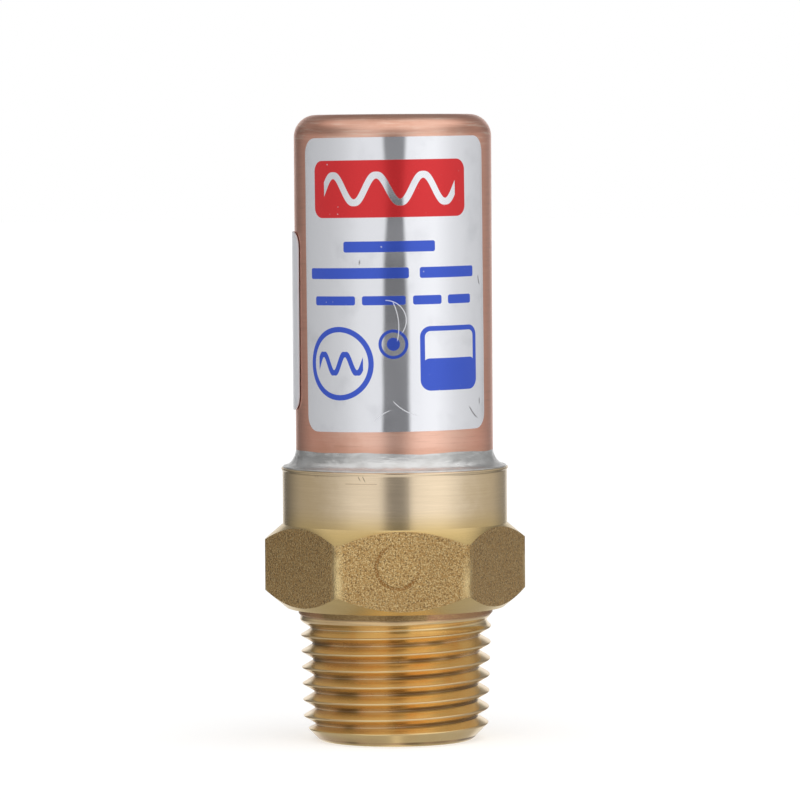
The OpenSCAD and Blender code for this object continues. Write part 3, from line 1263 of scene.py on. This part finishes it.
@dataclass
class FoilLabel:
    """A foil label stuck round the tube."""

    name: str
    node: str
    print_kind: Print
    width: float
    low: float
    high: float
    turn: float
    corner: float = 1.8
    thick: float = 0.1
    tube_r: float = TUBE_R
    slice_mm: float = 0.4
    slack: float = 0.05
    skew: float = 0.0
    folds: tuple[Box, ...] = ()
    fold_w: float = 1.7
    loose: float = 0.0
    loose_in: float = 3.0
    loose_w: float = 3.2
    gloss: float = 1.0

    @property
    def middle(self) -> float:
        """Height of the label's middle."""
        return (self.high + self.low) / 2

    def lift(self, u: float, v: float) -> float:
        """How far the foil stands off the tube.

        Args:
            u: millimetres round the tube.
            v: millimetres along the tube.
        Returns:
            The gap in millimetres.
        """
        slow = noise.noise(Vector((u * 0.10, v * 0.09, self.turn)))
        quick = noise.noise(Vector((u * 0.32, v * 0.22, 3.0 + self.turn)))
        fold = sum(height * math.exp(-((v - at_v) / reach) ** 2 - ((u - at_u) / self.fold_w) ** 2)
                   for at_u, at_v, reach, height in self.folds)
        free = self.loose * math.exp(-((u - self.width / 2 + self.loose_in) / self.loose_w) ** 2)
        return self.slack * (1.0 + 0.8 * slow + 0.24 * quick) + fold + free

    def build(self) -> BMesh:
        """Cuts the label flat, slices it, gives it its thickness and bends it round the tube.

        Returns:
            The mesh in millimetres.
        """
        bm = bmesh.new()
        bmesh.ops.create_grid(bm, x_segments=1, y_segments=1, size=0.5)
        bmesh.ops.scale(bm, vec=(self.width, self.high - self.low, 1.0), verts=bm.verts[:])
        bmesh.ops.translate(bm, vec=(0.0, self.middle, 0.0), verts=bm.verts[:])
        bmesh.ops.bevel(bm, geom=bm.verts[:], offset=self.corner, offset_type="OFFSET", segments=8,
                        profile=0.5, affect="VERTICES", material=-1)
        turn = Matrix.Rotation(math.radians(self.skew), 3, "Z")
        bmesh.ops.rotate(bm, cent=(0.0, self.middle, 0.0), matrix=turn, verts=bm.verts[:])
        for start, end, axis in ((-self.width / 2, self.width / 2, 0), (self.low, self.high, 1)):
            count = round((end - start) / self.slice_mm)
            for i in range(1, count):
                at, normal = [0.0, 0.0, 0.0], [0.0, 0.0, 0.0]
                at[axis], normal[axis] = start + (end - start) * i / count, 1.0
                bmesh.ops.bisect_plane(bm, geom=bm.verts[:] + bm.edges[:] + bm.faces[:], dist=1e-4,
                                       plane_co=at, plane_no=normal)
        bmesh.ops.recalc_face_normals(bm, faces=bm.faces[:])
        bmesh.ops.solidify(bm, geom=bm.faces[:], thickness=self.thick)
        for vert in bm.verts:
            u, v = vert.co.x, vert.co.y
            r = self.tube_r + abs(vert.co.z) + self.lift(u, v)
            angle = math.radians(self.turn - 90) + u / self.tube_r
            vert.co = (r * math.cos(angle), r * math.sin(angle), v)
        bmesh.ops.recalc_face_normals(bm, faces=bm.faces[:])
        return bm

    def dress(self) -> Object:
        """Builds the piece and gives it its finish.

        Returns:
            The object.
        """
        piece = Piece(self.name, self.node, Body.HOUSING, Slot.FOIL)
        foil = LabelFoil(self.name, self.print_kind, self.turn, self.skew, self.middle, self.gloss)
        return piece.place(self.build(), [foil.material()])


@dataclass
class PistonAssembly:
    """The piston and its two seals, whose CAD solids have the right shape and get their finishes here."""

    body: Body = Body.PISTON
    piston: str = "piston"
    seals: tuple[str, ...] = ("upper_o_ring", "lower_o_ring")

    def dress(self) -> None:
        """Gives the solids their finishes."""
        plastic, rubber = MouldedPlastic().material(), SealRubber().material()
        for node in (self.piston, *self.seals):
            mesh = frame["nodes"][node].data
            mesh.materials.clear()
            mesh.materials.append(plastic if node == self.piston else rubber)
            LOG.info("%s on %s: %d faces", node, self.body.value, len(mesh.polygons))


@dataclass
class Studio:
    """A pale floor, a white backdrop, soft light from both sides and the camera."""

    camera_at: Triple = (-0.0364, -0.5789, 0.0664)
    aim: Triple = (0.00065, 0.0, 0.03793)
    lens: float = 233.87
    sensor: float = 36.0
    clip: Point = (0.01, 50.0)
    roll: float = -0.38
    turn: float = -3.6
    floor_r: float = 4.0
    floor_z: float = -0.00003
    floor_tone: float = 0.82
    floor_glow: float = 0.55
    table_r: float = 0.08
    table_shine: float = 0.8
    panels: tuple[Point, ...] = (
        (-180, 1.0), (-163, 1.0), (-157, 0.17), (-146, 0.17), (-132, 0.27), (-115, 0.5), (-80, 0.58),
        (-60, 0.67), (-40, 0.81), (-25, 0.84), (-12.5, 0.84), (-8.5, 0.02), (13, 0.02), (17, 0.98),
        (35, 1.03), (50, 1.03), (62, 0.92), (75, 0.8), (95, 0.7), (118, 0.62), (135, 0.4), (150, 0.32),
        (157, 0.32), (163, 1.0), (180, 1.0),
    )
    behind: Point = (110, 150)
    leftward: Point = (-10, -70)
    sideways: Point = (50, 80)
    far_left: Point = (-40, -75)
    ahead: Point = (42, 26)
    backdrop: Point = (156.99, 163.007)
    roof_tones: Triple = (1.02, 0.82, 0.26)
    fill_tone: Colour = (0.85, 0.85, 0.87)
    shade: Colour = (0.05, 0.05, 0.05)

    def sector(self, sheet: Sheet, angle: NodeSocket, span: Point) -> NodeSocket:
        """A smooth step between two angles in degrees."""
        return sheet.spread(angle, math.radians(span[0]), math.radians(span[1]))

    def room(self, sheet: Sheet, angle: NodeSocket, z: NodeSocket) -> NodeSocket:
        """The light of the room: panels all round with a gap at the camera, dimmed parts and a roof.

        Args:
            sheet: the world's sheet.
            angle: bearing of the direction in radians.
            z: its height, from -1 to 1.
        Returns:
            The colour.
        """
        ramp = sheet.add("ShaderNodeValToRGB")
        stops = ramp.color_ramp.elements
        for degrees, level in self.panels[1:-1]:
            stops.new(degrees / 360 + 0.5).color = (*grey(level), 1.0)
        stops[0].color = stops[len(stops) - 1].color = (*grey(1.0), 1.0)
        sheet.feed(ramp.inputs[0], sheet.calc("MULTIPLY_ADD", angle, 1 / (2 * math.pi), 0.5))
        away, tilt = sheet.calc("ABSOLUTE", angle), sheet.calc("ABSOLUTE", z)
        behind, side = self.sector(sheet, away, self.behind), self.sector(sheet, away, self.sideways)
        front_roof, left_roof, back_roof = (grey(level) for level in self.roof_tones)
        leftward = self.sector(sheet, angle, self.leftward)
        roof = sheet.coats(front_roof, (leftward, left_roof), (behind, back_roof))
        high = sheet.most(sheet.spread(z, 0.5, 0.74), sheet.times(behind, sheet.spread(z, 0.16, 0.34)))
        dim = sheet.most(
            sheet.times(side, sheet.spread(z, -0.06, -0.22, 0.0, 0.62)),
            sheet.times(side, sheet.spread(z, 0.05, 0.2, 0.0, 0.5)),
            sheet.times(sheet.spread(z, 0.1, 0.28), sheet.spread(z, 0.68, 0.48, 0.0, 0.22)),
            sheet.times(self.sector(sheet, angle, self.far_left), sheet.spread(tilt, 0.06, 0.22, 0.0, 0.6)),
        )
        fill = sheet.most(
            sheet.spread(tilt, 0.12, 0.22, 0.0, 0.55),
            sheet.spread(sheet.off(z, -0.028), 0.009, 0.016, 0.0, 0.26),
        )
        fill = sheet.times(fill, self.sector(sheet, away, self.ahead))
        return sheet.coats(ramp.outputs[0], (fill, self.fill_tone), (dim, self.shade), (high, roof))

    def light(self) -> None:
        """Makes the world: the room's light, and plain white for the camera and for what mirrors the back."""
        world = bpy.data.worlds.new("studio")
        world.use_nodes = True
        bpy.context.scene.world = world
        sheet = Sheet(world.node_tree)
        turned = sheet.add("ShaderNodeMapping")
        turned.inputs["Rotation"].default_value = (0.0, 0.0, math.radians(-self.turn))
        sheet.feed(turned.inputs["Vector"], sheet.add("ShaderNodeTexCoord").outputs["Generated"])
        x, y, z = sheet.split(turned.outputs[0])
        angle = sheet.bearing(x, y)
        room, white = sheet.add("ShaderNodeBackground"), sheet.add("ShaderNodeBackground")
        sheet.feed(room.inputs["Color"], self.room(sheet, angle, z))
        sheet.feed(white.inputs["Color"], grey(1.0))
        back = self.sector(sheet, sheet.calc("ABSOLUTE", angle), self.backdrop)
        in_metal = sheet.times(
            sheet.rays("Is Glossy Ray", "Is Transmission Ray"), back, sheet.spread(z, 0.3, 0.2)
        )
        share = sheet.most(sheet.rays("Is Camera Ray"), in_metal)
        shown = sheet.mixed(share, room.outputs[0], white.outputs[0])
        sheet.feed(sheet.add("ShaderNodeOutputWorld").inputs["Surface"], shown)

    def floor(self) -> Object:
        """Lays the pale floor, which is clear from below and, beyond the table, to what the metal mirrors.

        Returns:
            The object.
        """
        bm = bmesh.new()
        bmesh.ops.create_circle(bm, cap_ends=True, segments=96, radius=self.floor_r)
        bmesh.ops.translate(bm, vec=(0, 0, self.floor_z), verts=bm.verts[:])
        mesh = bpy.data.meshes.new("floor")
        bm.to_mesh(mesh)
        bm.free()
        material, sheet = new_sheet("pale_floor")
        x, y, _ = sheet.split(sheet.object_mm())
        paint, clear = sheet.add("ShaderNodeBsdfDiffuse"), sheet.add("ShaderNodeBsdfTransparent")
        glow, shine = sheet.add("ShaderNodeEmission"), sheet.add("ShaderNodeEmission")
        sheet.feed(paint.inputs["Color"], grey(self.floor_tone))
        glow.inputs["Strength"].default_value = self.floor_glow
        shine.inputs["Strength"].default_value = self.table_shine
        pale = sheet.add("ShaderNodeAddShader")
        sheet.feed(pale.inputs[0], paint.outputs[0])
        sheet.feed(pale.inputs[1], glow.outputs[0])
        table = self.table_r / MM
        beyond = sheet.spread(sheet.hypot(x, y), table / 2, table, 0.45, 1.0)
        mirrored = sheet.mixed(beyond, shine.outputs[0], clear.outputs[0])
        shown = sheet.mixed(sheet.rays("Is Glossy Ray", "Is Transmission Ray"), pale.outputs[0], mirrored)
        under = sheet.add("ShaderNodeNewGeometry").outputs["Backfacing"]
        shown = sheet.mixed(under, shown, clear.outputs[0])
        sheet.feed(sheet.add("ShaderNodeOutputMaterial").inputs["Surface"], shown)
        mesh.materials.append(material)
        floor = bpy.data.objects.new("floor", mesh)
        bpy.context.scene.collection.objects.link(floor)
        return floor

    def camera(self) -> Object:
        """Stands the camera where the photograph was taken from.

        Returns:
            The camera.
        """
        data = bpy.data.cameras.new("camera")
        data.lens, data.sensor_width = self.lens, self.sensor
        data.clip_start, data.clip_end = self.clip
        camera = bpy.data.objects.new("camera", data)
        bpy.context.scene.collection.objects.link(camera)
        camera.location = self.camera_at
        look = (Vector(self.aim) - Vector(self.camera_at)).to_track_quat("-Z", "Y")
        camera.rotation_mode = "QUATERNION"
        camera.rotation_quaternion = look @ Quaternion((0, 0, 1), math.radians(self.roll))
        bpy.context.scene.camera = camera
        return camera

    def build(self) -> None:
        """Sets up the floor, the light and the camera."""
        self.light()
        self.floor()
        self.camera()
        bpy.context.scene.view_settings.view_transform = "Standard"


def main() -> None:
    """Builds the studio and dresses the part, sub-assembly by sub-assembly."""
    logging.basicConfig(level=logging.INFO, format="%(name)s %(message)s")
    Studio().build()
    BrassBody().dress()
    CopperChamber().dress()
    SolderJoint().dress()
    FoilLabel("front_foil", "front_label", Print.FIELDS, width=23.4, low=34.97, high=67.30, turn=-2.0,
              skew=0.6, folds=((0.2, 60.5, 4.5, 0.085), (0.0, 36.0, 13.0, -0.05))).dress()
    FoilLabel("rear_foil", "rear_label", Print.BARS, width=35.6, low=37.02, high=56.82, turn=192.884,
              slack=0.015, loose=0.18, gloss=0.35).dress()
    PistonAssembly().dress()


if __name__ == "__main__":
    main()
